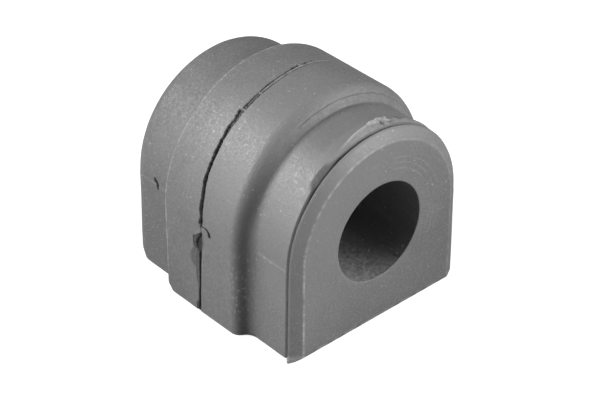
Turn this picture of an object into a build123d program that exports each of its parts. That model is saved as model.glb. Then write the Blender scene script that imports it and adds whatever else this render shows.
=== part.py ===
from build123d import *
from math import radians, tan
import os

# Stabiliser-bar bush, a single moulding of solid rubber.
# Its end view is a D: a flat base, straight sides and a round head about the bore.
# A raised band runs round the head and down both sides, between two S-shaped shoulders.
# The strap that clamps the bush to the chassis fits over the band, and the bar passes
# through the bore.
#
# Millimetres. The origin is the centre of the flat base, +Z is up through the bore,
# and the bore runs along Y. The end with the parting lip faces -Y.

# Bore
bore_diameter = 24.0
bore_height = 23.0  # flat base to bore axis
mouth_rounding = 0.5  # softened edge where the bar enters, at both ends

# Plain end sections, one each side of the band
length = 54.2  # overall, along the bore
end_width = 49.0
far_rounding = 3.8  # rim of the end that is moulded in one with the body

# Raised band
band_rise = 3.4  # how far the band stands proud of the end sections
band_width = 25.1  # along the bore, measured half way down the shoulders
shoulder_angle = 50.0  # slope of a shoulder to the bore axis, in degrees
shoulder_crest = 2.8  # radius where the band rolls over
shoulder_root = 4.0  # radius where a shoulder runs out on the end section

# Lip: the shallow ring at the near end, shaped by the mould's end plate
lip_length = 1.9
lip_drop = 2.5  # how far the lip falls in from its outer edge to the end face
lip_rim = 0.5  # softened edge where the lip meets the end face

# Parting line behind the lip: a small step down, with a crease at its foot
parting_step = 0.25
crease_width = 1.2
crease_depth = 0.35

# Seam round the middle of the band, where the halves of the mould meet
seam_width = 0.6
seam_height = 0.25

# Places that follow from the sizes above
end_radius = end_width / 2
band_radius = end_radius + band_rise
shoulder_run = band_rise / tan(radians(shoulder_angle))
crown_edge = (band_width - shoulder_run) / 2
shoulder_foot = (band_width + shoulder_run) / 2
near_end = -length / 2
far_end = length / 2
lip_back = near_end + lip_length
lip_radius = end_radius - parting_step

# Half outline in plan: X is the distance out from the bore axis, Y runs along the bore
with BuildSketch() as half_outline:
    with BuildLine():
        Polyline(
            (0, near_end),
            (lip_radius - lip_drop, near_end),
            (lip_radius, lip_back),
            (end_radius, lip_back + crease_width),
            (end_radius, -shoulder_foot),
            (band_radius, -crown_edge),
            (band_radius, crown_edge),
            (end_radius, shoulder_foot),
            (end_radius, far_end),
            (0, far_end),
            close=True,
        )
    make_face()
    fillet(half_outline.vertices().group_by(Axis.X)[-1], radius=shoulder_crest)
    shoulder_feet = half_outline.vertices().filter_by(
        lambda v: abs(abs(v.Y) - shoulder_foot) < 1e-6
    )
    fillet(shoulder_feet, radius=shoulder_root)
    far_rim = half_outline.vertices().group_by(Axis.Y)[-1].sort_by(Axis.X)[-1]
    fillet(far_rim, radius=far_rounding)
    lip_corner = half_outline.vertices().group_by(Axis.Y)[0].sort_by(Axis.X)[-1]
    fillet(lip_corner, radius=lip_rim)
    # the crease: a narrow vee at the back of the lip
    with BuildLine():
        Polyline(
            (lip_radius, lip_back),
            (lip_radius - crease_depth, lip_back + crease_width / 4),
            (end_radius, lip_back + crease_width),
            close=True,
        )
    make_face(mode=Mode.SUBTRACT)
    # the seam: a low ridge on the crown of the band
    with Locations((band_radius, 0)):
        Rectangle(2 * seam_height, seam_width)

with BuildPart() as bush:
    # Straight-sided foot, from the flat base up to the height of the bore axis
    with BuildSketch(Plane.XY):
        add(half_outline)
        mirror(about=Plane.YZ)
    extrude(amount=bore_height)

    # Round head, the same outline turned over the bore axis
    with BuildSketch(Plane.XY.offset(bore_height)):
        add(half_outline)
    revolve(axis=Axis((0, 0, bore_height), (0, -1, 0)), revolution_arc=180)

    # Bore for the bar, right through
    with Locations(Location((0, near_end, bore_height), (90, 0, 0))):
        Hole(radius=bore_diameter / 2, depth=length)
    end_faces = bush.faces().filter_by(Axis.Y)
    mouths = end_faces.edges().filter_by(GeomType.CIRCLE).filter_by(
        lambda e: abs(e.radius - bore_diameter / 2) < 1e-6
    )
    fillet(mouths, radius=mouth_rounding)

bush.part.label = "bush"

os.makedirs("parts", exist_ok=True)
export_step(bush.part, "parts/bush.step")
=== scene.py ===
"""A moulded rubber bush that holds a 24 mm stabiliser bar in its strap, with its torn mould flash."""

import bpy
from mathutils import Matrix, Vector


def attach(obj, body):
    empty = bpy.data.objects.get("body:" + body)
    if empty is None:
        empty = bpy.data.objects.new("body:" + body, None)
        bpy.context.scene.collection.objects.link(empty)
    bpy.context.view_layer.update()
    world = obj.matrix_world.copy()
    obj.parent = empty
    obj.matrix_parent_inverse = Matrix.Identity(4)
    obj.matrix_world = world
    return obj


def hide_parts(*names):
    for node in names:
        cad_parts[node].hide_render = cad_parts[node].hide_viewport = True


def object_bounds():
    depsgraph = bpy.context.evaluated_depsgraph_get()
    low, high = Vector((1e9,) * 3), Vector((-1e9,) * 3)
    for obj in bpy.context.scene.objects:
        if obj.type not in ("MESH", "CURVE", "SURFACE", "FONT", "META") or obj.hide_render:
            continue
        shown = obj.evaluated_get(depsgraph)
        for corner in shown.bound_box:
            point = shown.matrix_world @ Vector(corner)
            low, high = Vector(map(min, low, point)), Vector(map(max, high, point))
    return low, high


bl_info = {
    "name": "Stabiliser bar bush",
    "version": (1, 0, 0),
    "blender": (4, 5, 0),
    "location": "View3D > Sidebar > Bush",
    "description": "Makes a moulded rubber bar bush with its parting crack, flash and worn skin",
    "category": "Object",
}

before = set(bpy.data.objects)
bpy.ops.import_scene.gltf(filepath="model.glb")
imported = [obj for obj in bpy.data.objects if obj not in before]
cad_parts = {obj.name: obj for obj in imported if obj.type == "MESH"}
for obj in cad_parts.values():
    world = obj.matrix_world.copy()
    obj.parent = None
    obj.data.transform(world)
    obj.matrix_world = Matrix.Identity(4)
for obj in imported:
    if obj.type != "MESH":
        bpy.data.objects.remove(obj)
CAD_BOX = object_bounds()

import bpy
import numpy as np
from mathutils import Matrix

MM = 0.001
BODY = "root"
NODE = "bush"

# -------- sizes and colours a user may change

LENGTH = {"subtype": "DISTANCE", "unit": "LENGTH"}
COLOUR = {"subtype": "COLOR", "size": 3, "min": 0.0, "max": 1.0}
SHARE = {"subtype": "FACTOR", "min": 0.0, "max": 1.0}
POWER = {"unit": "POWER", "min": 0.0, "max": 200.0}


class BushSizes(bpy.types.PropertyGroup):
    """Main sizes of the moulding."""

    bore: bpy.props.FloatProperty(
        name="Bore", description="Diameter of the bar the bush grips",
        default=0.024, min=0.01, max=0.04, **LENGTH)
    bore_height: bpy.props.FloatProperty(
        name="Bore height", description="From the flat base to the middle of the bore",
        default=0.023, min=0.015, max=0.04, **LENGTH)
    mouth: bpy.props.FloatProperty(
        name="Mouth rounding", description="Rounding at each end of the bore",
        default=0.00018, min=0.0001, max=0.002, **LENGTH)
    length: bpy.props.FloatProperty(
        name="Length", description="From end face to end face",
        default=round(CAD_BOX[1].y - CAD_BOX[0].y, 5), min=0.03, max=0.09, **LENGTH)
    end_width: bpy.props.FloatProperty(
        name="End width", description="Width of the narrow part at each end",
        default=0.049, min=0.03, max=0.07, **LENGTH)
    band_rise: bpy.props.FloatProperty(
        name="Band rise", description="How far the middle band stands above the ends",
        default=0.0034, min=0.0, max=0.008, **LENGTH)
    band_width: bpy.props.FloatProperty(
        name="Band width", description="Width of the middle band at half the height of its shoulders",
        default=0.0251, min=0.01, max=0.04, **LENGTH)


class BushDamage(bpy.types.PropertyGroup):
    """How open the parting crack is, and how much flash stands on it."""

    crack_depth: bpy.props.FloatProperty(
        name="Crack depth", description="Depth of the open crack along the parting line",
        default=0.0011, min=0.0, max=0.002, **LENGTH)
    fin_height: bpy.props.FloatProperty(
        name="Fin height", description="Height of the thin fin of flash over the top",
        default=0.00028, min=0.0, max=0.0005, **LENGTH)
    crease_depth: bpy.props.FloatProperty(
        name="Crease depth", description="Depth of the crease behind the end lip",
        default=0.0005, min=0.0, max=0.001, **LENGTH)


class RubberLook(bpy.types.PropertyGroup):
    """Colours and skin of the rubber."""

    skin: bpy.props.FloatVectorProperty(
        name="Skin", description="Grey bloomed rubber", default=(0.185, 0.185, 0.187), **COLOUR)
    # the painted light gradient also turns the skin towards this colour
    skin_pale: bpy.props.FloatVectorProperty(
        name="Pale skin", description="Rubber with more bloom on it", default=(0.282, 0.282, 0.284), **COLOUR)
    # this colour also paints the shade in the crack, the crease behind the lip, the valley and the shaded
    # patches
    torn: bpy.props.FloatVectorProperty(
        name="Torn rubber", description="Fresh black rubber inside the tears",
        default=(0.018, 0.018, 0.019), **COLOUR)
    dust: bpy.props.FloatVectorProperty(
        name="Dust", description="Pale specks of moulding dust", default=(0.62, 0.62, 0.62), **COLOUR)
    # this colour also paints a faint highlight over the top of the lip
    pale_marks: bpy.props.FloatVectorProperty(
        name="Rubbed edges", description="Paler rubber on rubbed edges and thin flash",
        default=(0.54, 0.54, 0.54), **COLOUR)
    roughness: bpy.props.FloatProperty(
        name="Roughness", description="Sheen of the skin", default=0.45, min=0.2, max=1.0, subtype="FACTOR")
    grain: bpy.props.FloatProperty(
        name="Grain", description="Strength of the fine grain in the skin", default=0.5, **SHARE)


class StageLook(bpy.types.PropertyGroup):
    """Floor and lamps."""

    floor: bpy.props.FloatVectorProperty(
        name="Floor", description="Colour of the floor", default=(0.55, 0.55, 0.55), **COLOUR)
    bounce: bpy.props.FloatProperty(
        name="Floor bounce", description="How much light the floor throws back up", default=0.42, **SHARE)
    key: bpy.props.FloatProperty(
        name="High side lamp", description="High soft lamp behind the left side", default=3.8, **POWER)
    low: bpy.props.FloatProperty(
        name="Low side lamp", description="Low soft lamp on the left side", default=2.85, **POWER)
    front: bpy.props.FloatProperty(
        name="High end lamp", description="High soft lamp at the near end", default=1.8, **POWER)
    front_low: bpy.props.FloatProperty(
        name="Low end lamp", description="Low soft lamp at the near end", default=4.2, **POWER)
    sky: bpy.props.FloatProperty(
        name="Room light", description="Strength of the even light from all round",
        default=0.03, min=0.0, max=2.0)


# -------- small helpers


def eased(low, high, x):
    """0 below low, 1 above high, and a smooth rise between."""
    t = np.clip((np.asarray(x, float) - low) / (high - low), 0.0, 1.0)
    return t * t * (3 - 2 * t)


def hump(x, low, high, soft):
    """1 between low and high, with soft edges outside."""
    return eased(low - soft, low, x) * (1 - eased(high, high + soft, x))


def held(x):
    """x kept between 0 and 1."""
    return np.clip(x, 0, 1)


def bell(x, width):
    """1 where x is 0, falling away within about width on both sides."""
    return np.exp(-(x / width) ** 2)


def stairs(x, seed, cell, ramp=0.12):
    """Random line, -1 to 1, of short flat runs with quick steps between, as a torn edge has."""
    values = np.random.default_rng(seed).uniform(-1, 1, 1024)
    t = np.asarray(x, float) / cell + 256
    i = np.floor(t).astype(int)
    f = eased(1 - ramp, 1.0, t - i)
    return values[i % 1024] * (1 - f) + values[(i + 1) % 1024] * f


def wander(x, seed, cell):
    """Smooth random line, -1 to 1, with one turn about every cell."""
    return stairs(x, seed, cell, ramp=1.0)


def mottle(u, v, seed, cell):
    """Smooth random field over the surface, -1 to 1."""
    values = np.random.default_rng(seed).uniform(-1, 1, (256, 256))
    p, q = np.asarray(u, float) / cell + 64, np.asarray(v, float) / cell + 64
    i, j = np.floor(p).astype(int), np.floor(q).astype(int)
    f, g = p - i, q - j
    f, g = f * f * (3 - 2 * f), g * g * (3 - 2 * g)
    i, j, i1, j1 = i % 256, j % 256, (i + 1) % 256, (j + 1) % 256
    low = values[i, j] * (1 - f) + values[i1, j] * f
    high = values[i, j1] * (1 - f) + values[i1, j1] * f
    return low * (1 - g) + high * g


def along(table, a):
    """Value at place a from a short table of (place, value)."""
    places, values = zip(*table)
    return np.interp(a, places, values)


def rounded_line(corners, step=0.05):
    """Line through (x, y, rounding) corners, each rounded by an arc."""
    points = [np.array(c[:2], float) for c in corners]
    out = [points[0]]
    for k in range(1, len(points) - 1):
        r = corners[k][2]
        p, a, b = points[k], points[k - 1], points[k + 1]
        ua, ub = (a - p) / np.linalg.norm(a - p), (b - p) / np.linalg.norm(b - p)
        half = np.arccos(np.clip(ua @ ub, -1, 1)) / 2
        if r <= 0 or half > np.pi / 2 - 1e-3:
            out.append(p)
            continue
        run = r / np.tan(half)
        centre = p + (ua + ub) / np.linalg.norm(ua + ub) * (r / np.sin(half))
        start, end = p + ua * run, p + ub * run
        s, e = start - centre, end - centre
        turn = np.arccos(np.clip(s @ e / r**2, -1, 1))
        n = max(3, int(turn * r / step))
        for t in np.linspace(0, 1, n + 1):
            w = (np.sin((1 - t) * turn) * s + np.sin(t * turn) * e) / np.sin(turn)
            out.append(centre + w)
    out.append(points[-1])
    return np.array(out)


def join_faces(rows):
    """Quads between neighbouring rows, and triangles where only one of them has a half-way point."""
    faces = []
    for low, high in zip(rows[:-1], rows[1:]):
        count = len(low)
        j = 0
        while j < count:
            k = (j + 1) % count
            if low[k] >= 0 and high[k] >= 0:
                faces.append((low[j], low[k], high[k], high[j]))
                j += 1
                continue
            m = (k + 1) % count
            if low[k] < 0 and high[k] < 0:
                faces.append((low[j], low[m], high[m], high[j]))
            elif low[k] < 0:
                faces += [(low[j], high[k], high[j]), (low[j], low[m], high[k]), (low[m], high[m], high[k])]
            else:
                faces += [(low[j], low[k], high[j]), (low[k], high[m], high[j]), (low[k], low[m], high[m])]
            j += 2
    return faces


# -------- shape of the moulding (mm)

HEAD_RUN = 87.65  # round the head from springing to springing, measured on the band
FINE_HEAD = 0.585  # share of the head that has the fine spacing of points
CORNER = 0.15  # softening of the edges of the flat base
SIDE_FLARE = 0.32  # how far the narrow ends spread towards the base
LIP = 1.6  # length of the bevelled lip at the near end
LIP_DROP = 2.75  # how far the lip falls to the near end face
SHOULDER_SLOPE = 57.0  # degrees from the bore to the slope of the shoulders
BASE_PLACE = 200.0  # place of every point of the flat base, well past both sides
DENSE_ROWS = (-2.6, 3.45)  # rows from here to there get the half-way points
PARTING_ROWS = (-3.4, 3.9)  # the parting line and its damage lie between these
CREASE_END = -21.0  # the crease behind the lip and its ledge lie in front of this
RIM_ROWS = -26.0  # the rubbed edge of the near end face lies in front of this
VALLEY = -12.75  # foot of the near shoulder

# Places round the moulding are in mm along the band: 0 where the head springs on the left, less than 0 down
# the left side, HEAD_RUN at the right springing and more down the right side. y runs along the bore.


class Section:
    """The points round one D-shaped section, from the left of the base up over the head to the right.

    left and right are the spacings of the points on the seen and the hidden side; base of them cross the base.
    """

    def __init__(self, height, left=0.44, right=0.9, base=24):
        def run(*columns):
            return np.stack(np.broadcast_arrays(*columns), 1)

        c = CORNER
        foot = [.15, .3, .5, .75, 1.05, 1.4, 1.8]
        side = np.concatenate([foot, np.arange(2.2, height - .1, left)])
        fine_head = np.arange(0, HEAD_RUN * FINE_HEAD, left)
        head = np.concatenate([fine_head, np.arange(HEAD_RUN * FINE_HEAD, HEAD_RUN, right)])
        turn = head / HEAD_RUN * np.pi
        right_side = np.concatenate([np.arange(height, 1.2, -right), [.8, .4, c]])
        corner = np.radians([30, 60, 90])
        back = corner[::-1]
        base_run = np.linspace(1, -1, base)[1:-1]
        # x = x0 + x1 * R and z = z0 + z1 * R for a section of half width R; then place and the way outwards
        values = np.concatenate([
            run(0, -1, side, 0, side - height, -1, 0),
            run(0, -np.cos(turn), height, np.sin(turn), head, -np.cos(turn), np.sin(turn)),
            run(0, 1, right_side, 0, HEAD_RUN + height - right_side, 1, 0),
            run(-c + c * np.cos(corner), 1, c - c * np.sin(corner), 0,
                HEAD_RUN + height + np.array([.1, .2, .3]), np.cos(corner), -np.sin(corner)),
            run(-c * base_run, base_run, 0, 0, BASE_PLACE, 0, -1),
            run(c - c * np.cos(back), -1, c - c * np.sin(back), 0,
                -height - np.array([.3, .2, .1]), -np.cos(back), -np.sin(back)),
        ])
        self.height = height
        # a half-way point after each point of the left side and of the fine part of the head
        seen = len(side) + len(fine_head) - 1
        table, extra = [], []
        for k, value in enumerate(values):
            table.append(value)
            extra.append(False)
            if k < seen:
                table.append(self.between(value, values[k + 1]))
                extra.append(True)
        self.x0, self.x1, self.z0, self.z1, self.place, self.nx, self.nz = np.array(table).T
        self.extra = np.array(extra)

    def between(self, p, q):
        """The point half way between two points of the section, on the arc where they are on the head."""
        m = (p + q) / 2
        if p[3] > 0 or q[3] > 0:
            turn = m[4] / HEAD_RUN * np.pi
            m[1], m[3], m[2] = -np.cos(turn), np.sin(turn), self.height
            m[5], m[6] = m[1], m[3]
        return m

    def at(self, half_width):
        """x and z of every point for that half width, which may differ from point to point."""
        return self.x0 + self.x1 * half_width, self.z0 + self.z1 * half_width


def outline(s, root, rim, crest):
    """(y, half width) along the outer skin, from the near end face to the far one.

    root and crest round the foot and the top of the near shoulder, rim the edge of the near end face.
    """
    half, end = s["length"] / 2, s["end_width"] / 2
    band = end + s["band_rise"]
    lean = s["band_rise"] / np.tan(np.radians(SHOULDER_SLOPE)) / 2
    crown = s["band_width"] / 2 - lean + 0.1
    foot = s["band_width"] / 2 + lean
    corners = [
        (-half, end - 5.0, 0), (-half, end - LIP_DROP, rim), (-half + LIP, end, 1.0),
        (-foot, end, root), (-crown, band, crest), (crown, band, 0.8), (foot, end, 3.0),
        (half, end, 3.8), (half, end - 9.0, 0),
    ]
    return rounded_line(corners)


def run_of(line):
    """Length along a line up to each of its points."""
    return np.concatenate([[0], np.cumsum(np.hypot(*np.diff(line, axis=0).T))])


# spacing of the rows of points at each y
PITCH = [(-28.1, .22), (-25.8, .2), (-25.6, .09), (-24, .1), (-23.9, .16), (-20.8, .16), (-20.5, .4),
         (-16, .4), (-15.5, .2), (-12.95, .2), (-12.9, .1), (-12.25, .1), (-12.2, .24), (-9.6, .3), (-9, .5),
         (-3, .5), (-2.5, .1), (3.3, .1), (3.8, .5), (9, .5), (9.6, .25), (11.9, .25), (12, .3), (16, .3),
         (17.6, .4), (17.8, .17), (19.9, .17), (20.1, .5), (28.1, .45)]


def stations(s):
    """y and half width of each row of the skin, by the smooth and the crisp outline, and which are dense."""
    smooth, crisp = outline(s, 3.0, 0.5, 2.5), outline(s, 0.45, 1.1, 4.2)
    run, crisp_run = run_of(smooth), run_of(crisp)
    step = 0.02
    fine = np.arange(0, run[-1], step)
    y = np.interp(fine, run, smooth[:, 0])
    half = s["length"] / 2
    count = np.concatenate([[0], np.cumsum(step / along(PITCH, (y[1:] + y[:-1]) / 2))])
    at = np.interp(np.arange(0, count[-1], 1.0), count, fine)
    ys, rs = np.interp(at, run, smooth[:, 0]), np.interp(at, run, smooth[:, 1])
    # the crisp outline at the same places: by share of the run over the lip, by y elsewhere
    split = -half + LIP + 0.45
    share = at / np.interp(split, smooth[:, 0], run)
    place = share * np.interp(split, crisp[:, 0], crisp_run)
    lip = ys < split
    keep = np.abs(crisp[:, 0]) < half - 0.01
    yc = np.where(lip, np.interp(place, crisp_run, crisp[:, 0]), ys)
    by_y = np.interp(ys, crisp[keep, 0], crisp[keep, 1])
    rc = np.where(lip, np.interp(place, crisp_run, crisp[:, 1]), by_y)
    rc = np.where(ys > half - 4.5, rs, rc)
    return ys, rs, yc, rc, (ys > DENSE_ROWS[0]) & (ys < DENSE_ROWS[1])


# the loose curl: place round the band, y, and lift off the rubber; its radius by share of its length
CURL = [(.78, -.8, -.12), (.8, -1.3, .03), (.92, -2.0, .1), (.84, -2.6, .14), (.64, -3.05, .13),
        (.26, -3.4, .12), (-.35, -3.6, .1), (-.95, -3.5, .02)]
CURL_RADIUS = [(0, .1), (.15, .11), (.55, .13), (.8, .26), (.93, .24), (1, .06)]
# y of the parting line round the band
SEAM_PATH = [(-23, .4), (-20, .3), (-15.7, .1), (-11, -.05), (-6.4, -.25), (-2, -.6), (1, -.72), (3, -.86),
             (5.6, -.52), (9, -.38), (11, -.07), (14, .15), (18, .15), (21, .38), (25, .48), (28, .55),
             (30.6, .45), (34.3, .42), (39, .5), (42, .72), (46, .98), (49, 1.2), (52, 1.35), (56, 1.2),
             (62, .7), (70, .2), (87.6, 0), (111, 0)]
# near edge of the torn pit
PIT_NEAR = [(-6.3, -.5), (-5.3, -1), (-3.5, -1.2), (-1.5, -1.25), (-1, -1)]


class Skin:
    """One row of the surface: depth in mm (+ outwards), how dark each point is from torn rubber and painted
    shade, and how pale it is.
    """

    def __init__(self, count):
        self.depth, self.torn, self.pale = np.zeros(count), np.zeros(count), np.zeros(count)

    def darken(self, torn):
        self.torn = np.maximum(self.torn, torn)

    def make_paler(self, pale):
        self.pale = np.maximum(self.pale, pale)

    def lift(self, high):
        self.depth = self.depth + high

    def cut(self, deep, torn):
        """Take deep off the surface as it stands."""
        self.depth = self.depth - deep
        self.darken(torn)

    def hollow(self, deep, torn):
        """Sink the surface until it is deep below the plain skin."""
        self.depth = np.minimum(self.depth, -deep)
        self.darken(torn)

    def groove(self, w, reach, middle, width, deep, dark):
        """A fine cut; w is the distance from the line it follows, and the rest may change along it."""
        line = reach * bell(w - middle, width)
        self.cut(deep * line, held(dark * line))


def parting(skin, a, y, d):
    """The parting line round the band, with all its damage; a is the place round the band."""
    w = y - along(SEAM_PATH, a) - .04 * wander(a, 3, 1.1)
    # plain moulded ridge on the hidden side of the head and down the right side
    skin.depth = np.maximum(skin.depth, .2 * eased(60, 68, a) * held(1 - np.abs(w) / .3))
    open_crack(skin, a, y, w, d["crack_depth"])
    line_over_top(skin, a, w, d["fin_height"])
    pit, root = torn_pit(skin, a, y)
    lower_cut(skin, a, y, w, pit, root)
    # the thin fins and the lips of the tears are rubbed pale
    fin = hump(a, 34.6, 57, .5) * bell(w - .02, .17)
    skin.make_paler(fin * held(.55 + .7 * wander(a, 28, .9)))


def open_crack(skin, a, y, w, deepest):
    """Open crack from the head down to the torn pit, with a rag of rubber left standing in its upper half."""
    far = along([(.2, -.1), (.6, .05), (1.1, .78), (1.8, .7), (3, .47), (5.6, .52), (9, .5), (11, .48),
                 (14, .47), (17, .42), (21, .46), (24, .56), (28, .54)], a)
    jag = .14 * stairs(a, 5, 1.1) + .08 * wander(a, 6, .5) + .11 * stairs(a, 4, .5)
    far = far + jag * eased(1.5, 6, a)
    far = far + .3 * hump(a, 27.7, 28.4, .1)
    near = along([(.2, -.2), (.6, -.42), (1.2, -.55), (2, -.6), (3, -.47), (5.6, -.55), (9, -.52), (14, -.47),
                  (18, -.44), (22, -.5), (28, -.58)], a) + .05 * wander(a, 7, 1)
    reach = eased(.1, .5, a) * (1 - eased(28.5, 28.8, a))
    crack = held((far - w) / .12) * held((w - near) / .2) * reach
    floor = along([(0, .3), (2, .8), (4, 1), (12, 1), (16, .8), (20, .62), (24, .5), (28, .42)], a)
    floor = floor * (1 + .35 * eased(12, 18, a) * mottle(a, y, 9, .35))
    # the crack is darkened: black torn rubber, with painted shade beyond the shadow its depth casts
    dark = along([(0, .9), (12, 1), (16, .95), (20, .88), (24, .82), (28, .78)], a)
    skin.hollow(deepest * floor * crack, crack * dark)
    rag = crack * eased(13, 22, a) * bell(w - .04 - .08 * wander(a, 8, .7), .2)
    rag = rag * held(.5 + .9 * mottle(a, y, 29, .38))
    skin.lift(.2 * rag)
    skin.torn = skin.torn * (1 - .7 * rag)
    # the near edge of the crack is turned up a little
    skin.lift(.05 * reach * bell(w - near + .35, .3) * (w < near))


def line_over_top(skin, a, w, fin_height):
    """The line above the crack: a double line, a thin fin, a ragged tear and a low fin that fades away."""
    # double line with a ragged core
    part = hump(a, 29.3, 33.6, .4)
    skin.groove(w, part, .31 + .08 * stairs(a, 10, .6), .15, .45, 1.0 + .35 * stairs(a, 11, .7))
    skin.groove(w, part, -.3 + .04 * wander(a, 12, .6), .12, .4, .85 + .45 * stairs(a, 13, .6))
    rung = held(2.2 * wander(a, 14, .4) - .6) * np.exp(-(w / .3) ** 4)
    skin.cut(.25 * part * rung, .8 * part * rung)

    # thin fin between two fine grooves
    part = hump(a, 34.4, 43.8, .4)
    ridge = held(1 - np.abs(w) / .24)
    skin.lift(part * fin_height * ridge * (.75 + .35 * wander(a, 15, .8)))
    skin.groove(w, part, .4 + .06 * stairs(a, 16, .7), .17, .4, .8 + .75 * stairs(a, 17, .9))
    skin.groove(w, part, -.36, .12, .28, .65 + .5 * wander(a, 18, .9))

    # ragged tear on the far side, then a low fin that fades over the top
    tear = hump(a, 43.6, 50.6, .3) * hump(w, .25, .85 + .3 * stairs(a, 19, .5), .1)
    tear = tear * held(.85 + 1.2 * stairs(a, 20, .55))
    skin.cut(.45 * tear, tear)
    part = hump(a, 44.2, 56.5, .6)
    skin.lift(part * .85 * fin_height * ridge)
    skin.groove(w, part * (1 - eased(49, 53, a)), -.36, .12, .25, .7)
    skin.groove(w, part * eased(50, 52, a), .36, .12, .2, .5 + .3 * stairs(a, 21, .8))
    tick = hump(a, 54.2, 54.6, .12) * hump(w, -1, .8, .1)
    skin.cut(.22 * tick, .55 * tick)
    part = hump(a, 56.6, 61, .5)
    skin.groove(w, part, .3, .1, .14, .4)
    skin.groove(w, part, -.35, .1, .14, .3)


def torn_pit(skin, a, y):
    """Torn pit low on the left: a dark curved root, a shelf on its far side and a soft dip on its near side."""
    left = along([(-6.6, .6), (-6.4, 1.2), (-5.8, 2.05), (-4.4, 2.1), (-3.3, 2.05), (-2.95, 1.9), (-2.5, .9),
                  (-1.2, -.5), (-.9, -.8)], a) + .06 * stairs(a, 22, .45)
    right = along([(-7, .1)] + PIT_NEAR, a)
    pit = hump(a, -6.5, -.95, .12) * held((left - y) / .14) * held((y - right) / .55)
    root = along([(-6.4, .2), (-5.9, .75), (-5.2, 1), (-4.4, .85), (-3.5, .55), (-2.4, -.25),
                  (-1.2, -.8)], a)
    fold = bell(y - root, .27)
    skin.hollow((.2 + .65 * fold) * pit, pit * (.55 + .45 * fold + .1 * mottle(a, y, 23, .5)))
    # fine cut from the pit up to the crack, and the deep hook where the curl of flash hangs
    fine = bell(y + .85, .09) * hump(a, -1.1, .2, .1)
    skin.cut(.12 * fine, .45 * fine)
    path = along([(.3, -.86), (.8, -.84), (1.3, -.72), (2, -.75)], a)
    hook = bell(y - path, .26) * hump(a, .3, 2, .1)
    skin.cut(.6 * hook, hook)
    return pit, root


def lower_cut(skin, a, y, w, pit, root):
    """Lower end of the line: a narrow cut, the skin rolling into it, a torn strip and the scar of a flap."""
    part = 1 - eased(-6.2, -5.7, a)
    width = along([(-23, .38), (-21, .34), (-19, .29), (-15, .28), (-9, .32), (-6, .36)], a)
    line = part * np.exp(-np.abs(w / (width + .03 * wander(a, 24, .7))) ** 3)
    skin.hollow(.6 * line * (.25 + .75 * eased(-22.9, -21.4, a)), .97 * held(line * 1.6))

    # the skin rolls into the pit and the cut on their near side
    near = along([(-23, .2), (-20, .15), (-15.7, -.05), (-11, -.2), (-7, -.45)] + PIT_NEAR, a)
    roll = along([(-23, .12), (-17, .14), (-12, .3), (-8, .5), (-4, .55), (-1.2, .3), (-.5, 0)], a)
    reach = along([(-23, .5), (-12, .8), (-6, 1.5), (-1, 1.3)], a)
    rolled = held(1 - np.maximum(near - y, 0) / reach) * (y < np.where(a > -6.3, root, near))
    skin.hollow(.55 * roll * rolled ** 2, .75 * roll * rolled ** 3)
    skin.darken(pit * (.6 + .33 * (y < root)))

    # torn strip on the far side
    edge = along([(-23, .9), (-22, 1), (-20.8, .95), (-20.2, .35), (-17, .45), (-15.9, .6), (-15.5, 1),
                  (-13, 1.15), (-11.6, 1.3), (-9.9, 1.45), (-8, 1.2), (-6.3, 1)], a) + .05 * stairs(a, 25, .6)
    strip = part * held((edge - w) / .14) * held(w / .1)
    dark = along([(-23, .85), (-20.9, .75), (-20, .5), (-15, .42), (-9, .5), (-6, .55)], a)
    skin.hollow(.13 * strip, strip * dark)

    # shallow scar where a flap of flash was pulled off
    outer = along([(-12.4, .9), (-11.4, 1.5), (-10.6, 2.75), (-9.6, 3.2), (-8.2, 3.1), (-6.9, 2.5),
                   (-6, 1.8)], a)
    scar = hump(a, -12, -6.3, .3) * held((outer + .05 * stairs(a, 26, .5) - y) / .3) * (w > 0)
    skin.hollow(.07 * scar, scar * (.44 + .06 * mottle(a, y, 27, .5)))


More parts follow.
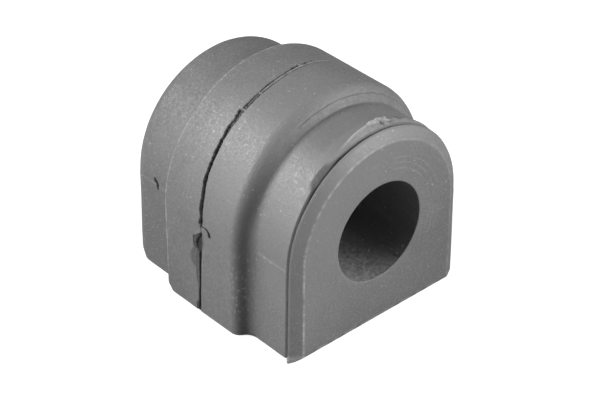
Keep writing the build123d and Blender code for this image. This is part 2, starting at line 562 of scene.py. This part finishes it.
def lip_crease(skin, a, y, d):
    """The parting crease behind the lip with painted shade at its bottom, the torn wedge on it and the light
    ledge of flash over the top.
    """
    jag = .05 * wander(a, 31, .8) + .035 * stairs(a, 32, .6)
    back = along([(-23, -24.4), (10, -24.4), (18, -24.3), (21.6, -24.15), (22.4, -23.7), (23.6, -23.05),
                  (25.4, -22.85), (27.8, -22.8), (29.4, -23.6), (31.5, -24.3), (40, -24.5), (60, -24.5),
                  (75, -24.35), (111, -24.3)], a) + .06 * wander(a, 33, 2.2)
    bottom = -24.98 + .4 * jag
    front = -25.22 + .5 * jag
    deep = along([(-23, .9), (-10, .95), (5, 1.05), (18, 1.1), (25, 1.6), (32, 1.4), (45, 1.2), (60, 1),
                  (75, .7), (111, .6)], a)
    down = held((back - y) / (back - bottom))
    up = held((y - front) / (bottom - front))
    line = along([(-23, .7), (14, .75), (20, 1), (34, 1), (44, .95), (62, .95), (75, .5), (111, .5)], a)
    under = along([(18, 0), (23, .3), (28, .3), (34, .1), (60, .06)], a)
    width = along([(15, .18), (21, .28), (25, .42), (29, .38), (34, .27), (60, .27), (75, .18)], a)
    # the bottom of the crease is darkened: painted shade
    skin.cut(d["crease_depth"] * deep * np.where(y > bottom, down ** 1.15, up),
             line * bell(y - bottom - under, width))
    wedge = hump(a, 22.5, 28.6, 1.6) * hump(y, -24.9, -23.1, .4)
    skin.darken(wedge * (.34 + .15 * mottle(a, y, 28, .45)))
    flash_ledge(skin, a, y)
    # paler skin rubbed on the crest in front of the crease, and a faint painted highlight over the top of the
    # lip
    skin.make_paler(hump(y, -25.6, -25.4, .15) * .45 * (1 - eased(30, 45, a)))
    skin.make_paler(hump(y, -26.4, -25.4, .5) * .12 * hump(a, 36, 58, 8))
    # short torn mark to the right of the ledge
    course = along([(53.4, -23.2), (54.6, -22.4), (55.3, -22.3), (56.9, -21.75), (58.5, -21.25)], a)
    stroke = hump(a, 53.6, 58.8, .3) * bell(y - course - .08 * wander(a, 36, .6), .2)
    mark = np.maximum(stroke, hump(a, 54.6, 55.6, .2) * hump(y, -22.9, -21.3, .1))
    skin.cut(.18 * mark, .6 * mark)


def flash_ledge(skin, a, y):
    """The light ledge of flash over the top, its lower run to the right, a dark split in it and its crumbs."""
    reach = eased(31, 40, a) * (1 - eased(49.4, 50.2, a)) * (1 - .85 * hump(a, 47.5, 48, .15))
    start = along([(30, -23.5), (34, -23), (38, -22.4), (42, -21.85), (46, -21.45), (51, -21.4)], a)
    crest = start - .75
    rise = held((start + .04 * stairs(a, 34, .7) - y) / (start - crest))
    fall = held((y + 24.5) / (crest + 24.5))
    ledge = reach * np.where(y > crest, rise, fall)
    skin.lift(.42 * ledge * (1 + .15 * wander(a, 35, .9)))
    face = .8 * hump(y, -24.2, start - .1, .2) + 1.5 * bell(y - start + .4, .38)
    skin.make_paler(reach * eased(30, 39, a) * (.8 + .5 * mottle(a, y, 30, .5)) * face)
    run = hump(a, 52, 63, 2.5) * hump(y, -23.9, -22.5, .4)
    skin.lift(.28 * run)
    skin.make_paler(.45 * run * (1 + mottle(a, y, 40, .6)))
    split = hump(a, 47.9, 48.3, .15) * hump(y, -23.4, -21.9, .2)
    skin.cut(.25 * split, .4 * split)
    crumbs = hump(a, 45, 50.9, .3) * held(2.2 * mottle(a, y, 37, .5) + .95)
    crumbs = crumbs * hump(y, -22.9, -21.1, .25) * (1 - split)
    skin.lift(.4 * crumbs)
    skin.make_paler(1.7 * crumbs)


def small_marks(skin, a, y):
    """Nick on the far end section and a fine jagged line over the near shoulder."""
    place = along([(-1.1, 18.25), (-.2, 18.35), (.3, 18.75), (.95, 18.95), (1.5, 19.4)], a)
    across = along([(-1.2, .22), (-.2, .34), (.25, .8), (.7, .62), (1.5, .34)], a)
    nick = hump(a, -1.1, 1.6, .12) * held(1 - (np.abs(y - place) / across) ** 2)
    line_y = -12.55 + .05 * wander(a, 41, .8) + .03 * stairs(a, 42, .5)
    line = eased(30, 35, a) * (1 - .5 * eased(58, 66, a)) * bell(y - line_y, .09)
    skin.cut(.5 * nick + .13 * line, held(nick * 2.2))
    skin.darken(.5 * line * (.8 + .2 * wander(a, 43, .5)))


def dust_rubbing_and_painted_shade(skin, a, y):
    """Marks that have no depth: painted shade in the valley, rubbed edges, dust and patches of painted shade.
    """
    # painted shade in the valley at the foot of the near shoulder, with crumbs of dust low down
    dark = along([(-23, .42), (-12, .42), (-3, .3), (32, .3)], a) * (1 - eased(5, 32, a))
    skin.darken(dark * bell(y - VALLEY, .75))
    crumbs = held(5 * mottle(a, y, 61, .38) - 2.9) * hump(a, -17, -3, 3)
    skin.make_paler(1.1 * crumbs * hump(y, -13.3, -10.8, .5))
    # far edge of the band, rubbed in patches
    patches = np.clip(.5 + .7 * stairs(a, 53, .5) + .4 * wander(a, 54, 2), .15, 1.2)
    skin.make_paler(1.1 * bell(y - 11.3, .25) * hump(a, -14, 50, 6) * patches)
    # patches of painted shade: on the top of the near section, over the far half of the band, and on the strip
    # of the near shoulder
    skin.darken(.14 * hump(a, 33, 49, 4) * hump(y, -20, -13.6, 1.2))
    skin.darken(.07 * hump(a, 7, 27, 5) * eased(5, 9, y))
    skin.darken(hump(a, 28, 62, 4) * hump(y, -13.9, -12.7, .15) * (.1 + .1 * mottle(a, y, 44, .6)))


def foot_inset(y, z):
    """How far the foot of the sides draws in: slightly rounded, with fuller corners on the band and far end."""
    foot = along([(-24, 0), (-20, .15), (11, .2), (13, .4), (27.1, .4)], y)
    inset = foot - np.sqrt(np.maximum(foot ** 2 - np.maximum(foot - z, 0) ** 2, 0))
    for end, radius, most, height in ((11.9, 2.6, .8, 2.2), (27.1, 5, 1.2, 2.8)):
        into = np.clip(y - (end - radius), 0, radius)
        corner = np.minimum(radius - np.sqrt(radius ** 2 - into ** 2), most)
        corner = corner * (1 - eased(end, end + 1.6, y))
        inset = inset + corner * held(1 - z / height) ** 2
    return inset


class Rows:
    """Rows of points round the moulding, each with the points of its section, numbered as they are added."""

    def __init__(self, section):
        self.section, self.total = section, 0
        self.points, self.torn, self.pale, self.numbers = [], [], [], []

    def add(self, x, y, z, torn=0.0, pale=0.0, dense=False):
        """One row; only a dense one gets the half-way points, and the others hold -1 in their place."""
        count = len(self.section.place)
        use = np.ones(count, bool) if dense else ~self.section.extra
        numbers = np.full(count, -1)
        numbers[use] = self.total + np.arange(use.sum())
        self.total += int(use.sum())
        self.numbers.append(numbers)
        self.points.append(np.stack(np.broadcast_arrays(x, y, z), 1)[use])
        self.torn.append(np.broadcast_to(torn, count)[use])
        self.pale.append(np.broadcast_to(pale, count)[use])


def body_mesh(s, d):
    """The whole bush as one closed mesh: points, faces, and how dark (torn rubber and painted shade) and how
    pale each point is.
    """
    section = Section(s["bore_height"])
    rows = Rows(section)
    a = section.place
    ys, rs, yc, rc, dense = stations(s)
    half, end = s["length"] / 2, s["end_width"] / 2
    above_base = a < BASE_PLACE
    # 1 over the top, where the crisp outline holds, and 0 down the sides, where the smooth one does
    crisp = eased(0, 42, a) * (1 - eased(74, 95, a))
    down = np.where(a < 0, -a, a - HEAD_RUN) / s["bore_height"]
    side = np.where(above_base, held(down), 1.0)
    for y, soft_radius, y_crisp, crisp_radius, halved in zip(ys, rs, yc, rc, dense):
        yy = y * (1 - crisp) + y_crisp * crisp
        radius = soft_radius * (1 - crisp) + crisp_radius * crisp
        low = held((end + s["band_rise"] - soft_radius) / s["band_rise"])
        radius = radius + SIDE_FLARE * low * eased(0, 1, side) - .1 * low * (side == 0)
        skin = Skin(len(a))
        if PARTING_ROWS[0] < y < PARTING_ROWS[1]:
            parting(skin, a, yy, d)
        elif y < CREASE_END:
            lip_crease(skin, a, yy, d)
        small_marks(skin, a, yy)
        if y < RIM_ROWS:
            off = np.hypot(yy + half, radius - (end - 2.72))
            pale_marks = bell(off, .24) * (1.0 + .6 * wander(a, 38, .9) + .7 * stairs(a, 39, .4))
            skin.make_paler(pale_marks * (1 - .7 * eased(30, 48, a)))
        dust_rubbing_and_painted_shade(skin, a, yy)
        # the skin is slightly uneven, but not at the edges of the end faces
        away = eased(-half, -half + 2, y) * (1 - eased(half - 2, half, y))
        skin.lift(away * (.03 * mottle(a, yy, 51, 5.0) + .012 * mottle(a, yy, 52, 1.3)))
        depth = np.where(above_base, skin.depth, 0)
        x, z = section.at(radius)
        # the foot of both sides is a little rounded, but hardly narrower than the near end face
        narrowest = np.minimum((end - 2.6) / radius, 1)
        x = x * np.maximum(1 - foot_inset(y, z) / radius, narrowest)
        # tongue of flash at the foot of the left lip
        tongue = along([(-27.1, 0), (-26.9, 1.6), (-26.5, 2.2), (-26.2, 2.1), (-25.5, .55), (-24.9, 0)], y)
        x = x + section.nx * depth - tongue * (1 - eased(.15, 1.3, z)) * (x < -15)
        z = np.maximum(z + section.nz * depth, 0)
        rows.add(x, yy, z, np.where(above_base, skin.torn, 0), skin.pale, halved)
    ends_and_bore(rows, s, rs[0], rs[-1])
    faces = join_faces(rows.numbers + rows.numbers[:1])
    return np.concatenate(rows.points) * MM, faces, np.concatenate(rows.torn), np.concatenate(rows.pale)


def ends_and_bore(rows, s, near_radius, far_radius):
    """Rows of the far end face, the bore and the near end face, back to the first row of the skin."""
    h, half, bore, mouth = s["bore_height"], s["length"] / 2, s["bore"] / 2, s["mouth"]

    def round_bore(x, z, r):
        size = np.hypot(x, z - h)
        return x / size * r, h + (z - h) / size * r

    def face(x, z, y, shares):
        """Rows across an end face; share 0 is its outer edge and 1 the edge of the mouth."""
        mouth_x, mouth_z = round_bore(x, z, bore + mouth)
        for t in shares:
            rows.add(x * (1 - t) + mouth_x * t, y, z * (1 - t) + mouth_z * t)

    def rounding(x, z, y, outwards, degrees):
        """Rows over the rounded mouth at the end face that faces outwards (1 far, -1 near)."""
        for t in np.radians(degrees):
            at = round_bore(x, z, bore + mouth - mouth * np.sin(t))
            rows.add(at[0], y + outwards * (mouth * np.cos(t) - mouth), at[1])

    x, z = rows.section.at(far_radius)
    x = x * (1 - foot_inset(half, z) / far_radius)
    face(x, z, half, np.linspace(0, 1, 15)[1:])
    rounding(x, z, half, 1, (30, 60, 90))
    wall_x, wall_z = round_bore(x, z, bore)
    for y in np.linspace(half - mouth, -half + mouth, 14)[1:]:
        rows.add(wall_x, y, wall_z)
    x, z = rows.section.at(near_radius)
    rounding(x, z, -half, -1, (60, 30, 0))
    face(x, z, -half, np.linspace(1, 0, 17)[1:-1])


def skin_point(s, a, y, lift):
    """A point on the band at place a round it and y along it, lifted off the rubber by lift mm."""
    r = s["end_width"] / 2 + s["band_rise"] + lift
    turn = np.clip(a, 0, HEAD_RUN) / HEAD_RUN * np.pi
    return np.array([-r * np.cos(turn), y, s["bore_height"] + min(a, 0) + r * np.sin(turn)])


def smooth_path(knots, steps):
    """Points along a smooth line through the knots (Catmull-Rom)."""
    p = np.array(knots, float)
    p = np.vstack([2 * p[0] - p[1], p, 2 * p[-1] - p[-2]])
    out = []
    for a, b, c, d in zip(p, p[1:], p[2:], p[3:]):
        for t in np.linspace(0, 1, steps, endpoint=False):
            out.append(b + t / 2 * (c - a + t * (2 * a - 5 * b + 4 * c - d + t * (3 * b - a - 3 * c + d))))
    out.append(p[-2])
    return np.array(out)


def strand_mesh(line, radii, sides=8):
    """A thin flattened strand along a line, closed at both ends."""
    ways = np.gradient(line, axis=0)
    ways /= np.linalg.norm(ways, axis=1)[:, None]
    out = np.array([-1.0, .0, .15])
    points, rows = [], []
    for p, way, r in zip(line, ways, radii):
        side = np.cross(way, out)
        side /= np.linalg.norm(side)
        up = np.cross(side, way)
        rows.append(len(points) + np.arange(sides))
        for turn in -2 * np.pi * np.arange(sides) / sides:
            points.append(p + r * (np.cos(turn) * side + .7 * np.sin(turn) * up))
    faces = join_faces(rows) + [tuple(rows[0][::-1]), tuple(rows[-1])]
    return np.array(points) * MM, faces


# -------- pieces


def in_mm(group):
    """The lengths of a property group, in mm."""
    return {name: getattr(group, name) / MM for name in group.__annotations__}


def new_object(name, data):
    thing = bpy.data.objects.new(name, data)
    bpy.context.scene.collection.objects.link(thing)
    return thing


def new_piece(name, points, faces, material):
    """A smooth-shaded piece of rubber that rides with the bush."""
    mesh = bpy.data.meshes.new(name)
    mesh.from_pydata([tuple(p) for p in points], [], [tuple(int(i) for i in f) for f in faces])
    mesh.validate()
    mesh.update()
    mesh.polygons.foreach_set("use_smooth", [True] * len(mesh.polygons))
    mesh.materials.append(material)
    piece = new_object(name, mesh)
    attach(piece, BODY)
    return piece


def point_values(piece, name, values):
    """Keep one value for each point, for the material to read."""
    layer = piece.data.attributes.new(name, "FLOAT", "POINT")
    layer.data.foreach_set("value", np.asarray(values, np.float32))


# -------- materials

CENTRE = 23.0  # height of the bore above the base, mm
BORE_EDGE = (12.12, 12.02)  # the rubber darkens between these distances from the middle of the bore
NEAR_FACE = (-27.0, -27.08)  # y over which the marks of the near end face come in
BORE_GREY = (0.16, 0.16, 0.16, 1.0)
SCUFF_GREY = (0.32, 0.32, 0.32, 1.0)
FLASH_GREY = (0.06, 0.06, 0.06, 1.0)
WHITE = (1.0, 1.0, 1.0, 1.0)
# dust specks: cells per mm, share of the cells left bare, largest speck in cells, and strength
DUST = ((0.7, 0.5, 0.12, 0.85), (1.5, 0.62, 0.19, 0.55))


class Nodes:
    """Short way to write a node tree."""

    def __init__(self, material):
        material.use_nodes = True
        self.tree = material.node_tree
        self.tree.nodes.clear()

    def add(self, kind, **sockets):
        """A shader node; set_NAME sets a property, iN the Nth input, any other word the input of that name."""
        node = self.tree.nodes.new("ShaderNode" + kind)
        for key, value in sockets.items():
            if key.startswith("set_"):
                setattr(node, key[4:], value)
        for key, value in sockets.items():
            if not key.startswith("set_"):
                self.put(node.inputs[int(key[1:])] if key[0] == "i" and key[1:].isdigit()
                         else node.inputs[key.replace("_", " ")], value)
        return node

    def put(self, socket, value):
        if isinstance(value, bpy.types.NodeSocket):
            self.tree.links.new(value, socket)
        else:
            socket.default_value = value

    def math(self, operation, a, b, clamp=False):
        node = self.add("Math", set_operation=operation, set_use_clamp=clamp, i0=a, i1=b)
        return node.outputs[0]

    def times(self, first, *others):
        for other in others:
            first = self.math("MULTIPLY", first, other)
        return first

    def plus(self, a, b, clamp=False):
        return self.math("ADD", a, b, clamp)

    def minus(self, a, b):
        return self.math("SUBTRACT", a, b)

    def mix(self, factor, a, b):
        node = self.add("Mix", set_data_type="RGBA")
        self.put(node.inputs["Factor"], factor)
        self.put(node.inputs[6], a)
        self.put(node.inputs[7], b)
        return node.outputs[2]

    def noise(self, vector, scale, detail=3.0, rough=0.5):
        node = self.add("TexNoise", Vector=vector, Scale=scale, Detail=detail, Roughness=rough)
        return node.outputs[0]

    def ramp(self, value, low, high, to_low=0.0, to_high=1.0):
        """A smooth change from to_low at low to to_high at high; low may be the larger one."""
        node = self.add("MapRange", set_interpolation_type="SMOOTHSTEP", i0=value, i1=low, i2=high,
                        i3=to_low, i4=to_high)
        return node.outputs[0]

    def scaled(self, vector, scale):
        return self.add("Mapping", set_vector_type="POINT", Vector=vector, Scale=scale).outputs[0]

    def point_value(self, name):
        return self.add("Attribute", set_attribute_name=name).outputs["Fac"]


def rgba(colour):
    return (*colour, 1.0)


def bloom_amount(k, mm, painted_light_gradient):
    """How much bloom lies on the skin: broad clouds, small blotches, a fine pepper of paler grains, and painted
    light that turns it paler towards the top, the left and the near end.
    """
    clouds = k.ramp(k.noise(mm, .09, 2.0), .35, .65)
    blotch = k.ramp(k.noise(mm, 1.1, 4.0, .7), .4, .66)
    pepper = k.ramp(k.noise(mm, 1.7, 3.0, .8), .46, .64)
    bloom = k.plus(k.times(clouds, .2), k.times(blotch, .2))
    bloom = k.plus(bloom, k.times(pepper, .55))
    return k.plus(bloom, k.minus(painted_light_gradient, .1), clamp=True)


def trimming_rings(k, mm, x, y, up, radius):
    """Faint rings left on the near end face by trimming, on one side of the bore."""
    phase = k.plus(k.times(radius, 4.6), k.times(k.noise(mm, .12), 3.0))
    ripple = k.ramp(k.math("SINE", phase, 0.0), .35, 1.0)
    one_side = k.ramp(k.plus(x, k.times(up, .8)), 6.0, 14.0)
    patches = k.ramp(k.noise(mm, .16), .42, .6)
    return k.times(ripple, k.ramp(radius, 13.6, 15.0), k.ramp(radius, 19.6, 17.8), one_side, patches,
                   k.ramp(y, *NEAR_FACE))


def bore_wear(k, place, mm, x, up):
    """Grey scuffs low down in the bore, where the bar sat, and faint wiped streaks along it."""
    low_left = k.times(k.ramp(up, 0.0, -9.0), k.ramp(x, 7.5, 1.5))
    scuff = k.times(k.ramp(k.noise(mm, 1.3, 5.0, .75), .36, .66), low_left)
    streaks = k.ramp(k.noise(k.scaled(place, (500, 90, 500)), 1.0), .5, .75)
    return k.math("MAXIMUM", scuff, k.times(streaks, .15))


def rubber_material(look):
    """Grey bloomed rubber: dark and bare in the bore, pale where it is rubbed, black where it is torn, painted
    shade in the crack, the crease, the valley and patches, and painted light paler towards the top, the left
    and the near end.
    """
    material = bpy.data.materials.new("bloomed_rubber")
    k = Nodes(material)
    place = k.add("TexCoord").outputs["Object"]
    mm = k.scaled(place, (1000, 1000, 1000))
    torn, pale = k.point_value("torn"), k.point_value("pale")
    x, y, z = k.add("SeparateXYZ", Vector=mm).outputs
    up = k.minus(z, CENTRE)
    radius = k.math("SQRT", k.plus(k.times(x, x), k.times(up, up)), 0.0)
    # painted light: paler skin and more sheen towards the top, the left and the near end
    painted_light_gradient = k.minus(k.minus(k.times(up, .017), k.times(x, .016)), k.times(y, .017))

    colour = k.mix(bloom_amount(k, mm, painted_light_gradient), rgba(look.skin), rgba(look.skin_pale))
    rings = trimming_rings(k, mm, x, y, up, radius)
    colour = k.mix(k.times(rings, .12), colour, rgba(look.dust))
    bore_colour = k.mix(bore_wear(k, place, mm, x, up), BORE_GREY, SCUFF_GREY)
    colour = k.mix(k.ramp(radius, *BORE_EDGE), colour, bore_colour)
    # paler on rubbed edges, thin flash and dust crumbs, and a faint painted highlight over the top of the lip
    colour = k.mix(k.math("MULTIPLY", pale, .6, clamp=True), colour, rgba(look.pale_marks))
    for scale, bare, largest, strength in DUST:
        cells = k.add("TexVoronoi", set_feature="F1", Vector=mm, Scale=scale, Randomness=1.0)
        size = k.add("SeparateColor", Color=cells.outputs["Color"])
        reach = k.ramp(size.outputs[0], bare, 1.0, 0.0, largest)
        speck = k.math("LESS_THAN", cells.outputs["Distance"], reach)
        colour = k.mix(k.times(speck, strength), colour, rgba(look.dust))
    # black in the tears, and painted shade in the crack, the crease, the valley and the shaded patches
    colour = k.mix(torn, colour, rgba(look.torn))

    rough = k.ramp(k.noise(mm, 1.3, 4.0, .7), .3, .7, look.roughness - .13, look.roughness + .13)
    rough = k.plus(rough, k.minus(.1, k.times(painted_light_gradient, .14)))
    rough = k.plus(rough, k.times(torn, .3), clamp=True)

    # fine grain and faint lumps in the skin
    height = k.plus(k.times(k.noise(mm, 2.4, 3.0, .7), .16), k.times(k.noise(mm, 1.1, 3.0, .5), .1))
    bump = k.add("Bump", Strength=look.grain, Distance=MM, Height=height)
    shader = k.add("BsdfPrincipled", Base_Color=colour, Roughness=rough, Normal=bump.outputs[0])
    shader.inputs["Specular IOR Level"].default_value = 0.6
    k.add("OutputMaterial", Surface=shader.outputs[0])
    return material


def torn_material(look):
    """Dark torn rubber of the loose flash."""
    material = bpy.data.materials.new("torn_flash")
    k = Nodes(material)
    place = k.add("TexCoord").outputs["Object"]
    spots = k.ramp(k.noise(place, 1400.0, 3.0, 0.6), 0.35, 0.7)
    colour = k.mix(spots, rgba(look.torn), FLASH_GREY)
    bump = k.add("Bump", Strength=0.4, Distance=MM * 0.1, Height=k.noise(place, 3000.0))
    shader = k.add("BsdfPrincipled", Base_Color=colour, Normal=bump.outputs[0])
    shader.inputs["Roughness"].default_value = 0.7
    k.add("OutputMaterial", Surface=shader.outputs[0])
    return material


def floor_material(look):
    """Pale floor, shown near white to the camera with the shadow of the bush left on it."""
    material = bpy.data.materials.new("pale_floor")
    k = Nodes(material)
    seen = k.add("LightPath").outputs["Is Camera Ray"]
    matt = k.add("BsdfDiffuse", Color=rgba(look.floor))
    dull = k.add("BsdfDiffuse", Color=rgba([look.bounce] * 3))
    white = k.add("Emission", Color=WHITE, Strength=0.82)
    both = k.add("AddShader", i0=matt.outputs[0], i1=white.outputs[0])
    shown = k.add("MixShader", i0=seen, i1=dull.outputs[0], i2=both.outputs[0])
    k.add("OutputMaterial", Surface=shown.outputs[0])
    return material


# -------- floor, lamps and camera

FLOOR_HALF = 1.5  # half the side of the floor, m
FLOOR_DROP = 0.00004  # how far the floor lies below the base, m
LAMP_DISTANCE = 0.8  # from the middle of the bush, m
LAMP_AIM = (0, 0, 0.025)
# name, degrees round from the near end, degrees above the floor, side of the lamp (m), and its setting
LAMPS = (("high_side_lamp", 217, 36, 0.28, "key"), ("low_side_lamp", 246, 19, 0.45, "low"),
         ("high_end_lamp", 60, 46, 0.4, "front"), ("low_end_lamp", 28, 18, 0.5, "front_low"))
CAMERA_LENS, CAMERA_SENSOR = 117.84, 36.0


def placed(right, up, back, at):
    """Matrix of a lamp or camera from the way its three axes point and its place."""
    return Matrix([[right[i], up[i], back[i], at[i]] for i in range(3)] + [[0, 0, 0, 1]])


def add_floor(look):
    mesh = bpy.data.meshes.new("floor")
    r = FLOOR_HALF
    mesh.from_pydata([(-r, -r, 0), (r, -r, 0), (r, r, 0), (-r, r, 0)], [], [(0, 1, 2, 3)])
    mesh.materials.append(floor_material(look))
    floor = new_object("floor", mesh)
    floor.location.z = -FLOOR_DROP


def add_lamp(name, around, above, size, power):
    """A square softbox that faces the bush."""
    lamp = bpy.data.lights.new(name, "AREA")
    lamp.shape = "SQUARE"
    lamp.size, lamp.energy = size, power
    around, above = np.radians([around, above])
    way = np.array([np.sin(around) * np.cos(above), -np.cos(around) * np.cos(above), np.sin(above)])
    side = np.cross((0, 0, 1), way)
    side /= np.linalg.norm(side)
    at = np.array(LAMP_AIM) + way * LAMP_DISTANCE
    new_object(name, lamp).matrix_world = placed(side, np.cross(way, side), way, at)


def add_room(scene, look):
    """Even light from all round, shown white behind the bush."""
    world = bpy.data.worlds.new("room")
    scene.world = world
    k = Nodes(world)
    seen = k.add("LightPath").outputs["Is Camera Ray"]
    room = k.add("Background", Color=WHITE, Strength=look.sky)
    white = k.add("Background", Color=WHITE, Strength=1.0)
    shown = k.add("MixShader", i0=seen, i1=room.outputs[0], i2=white.outputs[0])
    k.add("OutputWorld", Surface=shown.outputs[0])


def add_camera(scene):
    camera = bpy.data.cameras.new("camera")
    camera.lens, camera.sensor_width = CAMERA_LENS, CAMERA_SENSOR
    camera.clip_start, camera.clip_end = 0.01, 10.0
    thing = new_object("camera", camera)
    thing.matrix_world = placed(
        right=(0.74362569, -0.66858743, 0.00341793), up=(0.38027566, 0.42714917, 0.82032556),
        back=(-0.54991932, -0.6087154, 0.57188662), at=(-0.24143, -0.26887, 0.26913))
    scene.camera = thing


# -------- operators


class BUSH_OT_body(bpy.types.Operator):
    """Mould the rubber body with its crack, crease and small marks"""

    bl_idname = "bush.body"
    bl_label = "Rubber body"

    def execute(self, context):
        sizes, damage = in_mm(context.scene.bush_sizes), in_mm(context.scene.bush_damage)
        points, faces, torn, pale = body_mesh(sizes, damage)
        piece = new_piece("rubber_body", points, faces, rubber_material(context.scene.rubber_look))
        point_values(piece, "torn", torn)
        point_values(piece, "pale", pale)
        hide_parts(NODE)
        return {"FINISHED"}


class BUSH_OT_flash(bpy.types.Operator):
    """Hang the loose curl of torn flash at the foot of the crack"""

    bl_idname = "bush.flash"
    bl_label = "Curl of flash"

    def execute(self, context):
        sizes = in_mm(context.scene.bush_sizes)
        knots = [skin_point(sizes, *k) for k in CURL]
        line = smooth_path(knots, 8)
        radii = along(CURL_RADIUS, np.linspace(0, 1, len(line)))
        points, faces = strand_mesh(line, radii)
        new_piece("flash_curl", points, faces, torn_material(context.scene.rubber_look))
        return {"FINISHED"}


class BUSH_OT_stage(bpy.types.Operator):
    """Set up the floor, the soft lamps and the camera"""

    bl_idname = "bush.stage"
    bl_label = "Floor, lamps and camera"

    def execute(self, context):
        scene = context.scene
        look = scene.stage_look
        add_floor(look)
        for name, around, above, size, setting in LAMPS:
            add_lamp(name, around, above, size, getattr(look, setting))
        add_room(scene, look)
        add_camera(scene)
        scene.view_settings.view_transform = "Standard"
        return {"FINISHED"}


class BUSH_PT_panel(bpy.types.Panel):
    """Sizes, damage and looks of the bush"""

    bl_idname = "BUSH_PT_panel"
    bl_label = "Bar bush"
    bl_space_type = "VIEW_3D"
    bl_region_type = "UI"
    bl_category = "Bush"

    def draw(self, context):
        for group in GROUPS:
            box = self.layout.box()
            settings = getattr(context.scene, group)
            for name in settings.__annotations__:
                box.prop(settings, name)
        for operator in OPERATORS:
            self.layout.operator(operator.bl_idname)


GROUPS = {"bush_sizes": BushSizes, "bush_damage": BushDamage, "rubber_look": RubberLook,
          "stage_look": StageLook}
OPERATORS = (BUSH_OT_body, BUSH_OT_flash, BUSH_OT_stage)


def register():
    for cls in (*GROUPS.values(), *OPERATORS, BUSH_PT_panel):
        bpy.utils.register_class(cls)
    for name, cls in GROUPS.items():
        setattr(bpy.types.Scene, name, bpy.props.PointerProperty(type=cls))


def unregister():
    for name in GROUPS:
        delattr(bpy.types.Scene, name)
    for cls in (BUSH_PT_panel, *OPERATORS, *GROUPS.values()):
        bpy.utils.unregister_class(cls)


def main():
    register()
    bpy.ops.bush.body()
    bpy.ops.bush.flash()
    bpy.ops.bush.stage()


if __name__ == "__main__":
    main()
